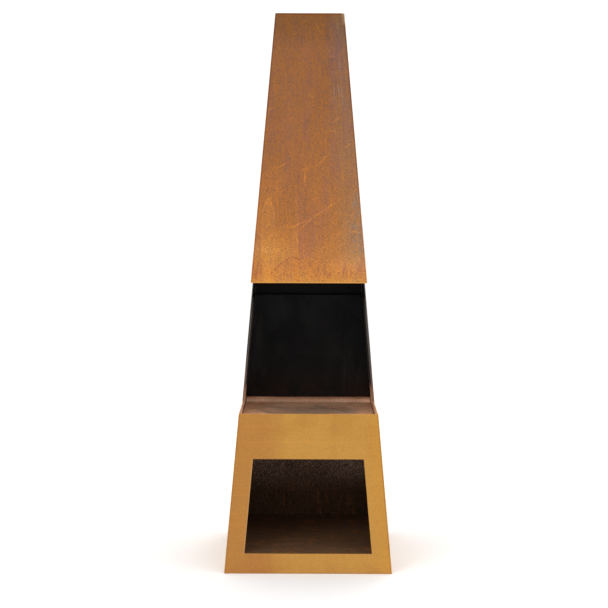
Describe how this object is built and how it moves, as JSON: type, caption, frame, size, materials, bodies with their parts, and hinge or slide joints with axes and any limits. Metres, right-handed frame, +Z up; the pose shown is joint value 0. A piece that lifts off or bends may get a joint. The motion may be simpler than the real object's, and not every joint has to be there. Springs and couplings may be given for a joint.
{
  "type": "chiminea",
  "caption": "Tapered square weathering-steel garden fireplace with an open-sided fire chamber, black heat shield, loose hearth plate and a log store in its base.",
  "frame": {"origin": "middle of the base, on the ground", "axes": "+Z up, +Y from the fire opening towards the back, +X to the right seen from the front"},
  "size_m": [0.45, 0.45, 1.5],
  "materials": {
    "weathered_steel": "weathering steel, matte orange-brown rust patina, mottled and streaked",
    "black_steel": "satin black heat-resistant paint, sooty",
    "fired_steel": "fire-stained bare steel, dull tan-brown rust",
    "zinc_steel": "dull zinc plating"
  },
  "bodies": {
    "body": {"left_side_panel": "weathered_steel", "right_side_panel": "weathered_steel", "back_panel": "weathered_steel", "hood_front_panel": "weathered_steel", "base_front_panel": "weathered_steel", "base_gusset_front_left": "weathered_steel", "base_gusset_front_right": "weathered_steel", "base_gusset_rear_right": "weathered_steel", "base_gusset_rear_left": "weathered_steel", "log_ledge_front": "weathered_steel", "log_ledge_right": "weathered_steel", "log_ledge_rear": "weathered_steel", "log_ledge_left": "weathered_steel", "log_store_floor": "weathered_steel", "hearth_ledge_front": "fired_steel", "hearth_ledge_right": "fired_steel", "hearth_ledge_rear": "fired_steel", "hearth_ledge_left": "fired_steel", "fire_back_plate": "black_steel", "fire_liner_left": "black_steel", "fire_liner_right": "black_steel", "back_plate_stud_1": "zinc_steel", "back_plate_spacer_1": "zinc_steel", "back_plate_washer_1": "zinc_steel", "back_plate_nut_1": "zinc_steel", "back_plate_stud_2": "zinc_steel", "back_plate_spacer_2": "zinc_steel", "back_plate_washer_2": "zinc_steel", "back_plate_nut_2": "zinc_steel", "back_plate_stud_3": "zinc_steel", "back_plate_spacer_3": "zinc_steel", "back_plate_washer_3": "zinc_steel", "back_plate_nut_3": "zinc_steel", "back_plate_stud_4": "zinc_steel", "back_plate_spacer_4": "zinc_steel", "back_plate_washer_4": "zinc_steel", "back_plate_nut_4": "zinc_steel"},
    "hearth": {"hearth_plate": "fired_steel"}
  },
  "joints": [
    {"name": "hearth_lift", "type": "slide", "parent": "body", "child": "hearth", "axis": [0, 0, 1], "range_m": [0, 0.031]}
  ]
}
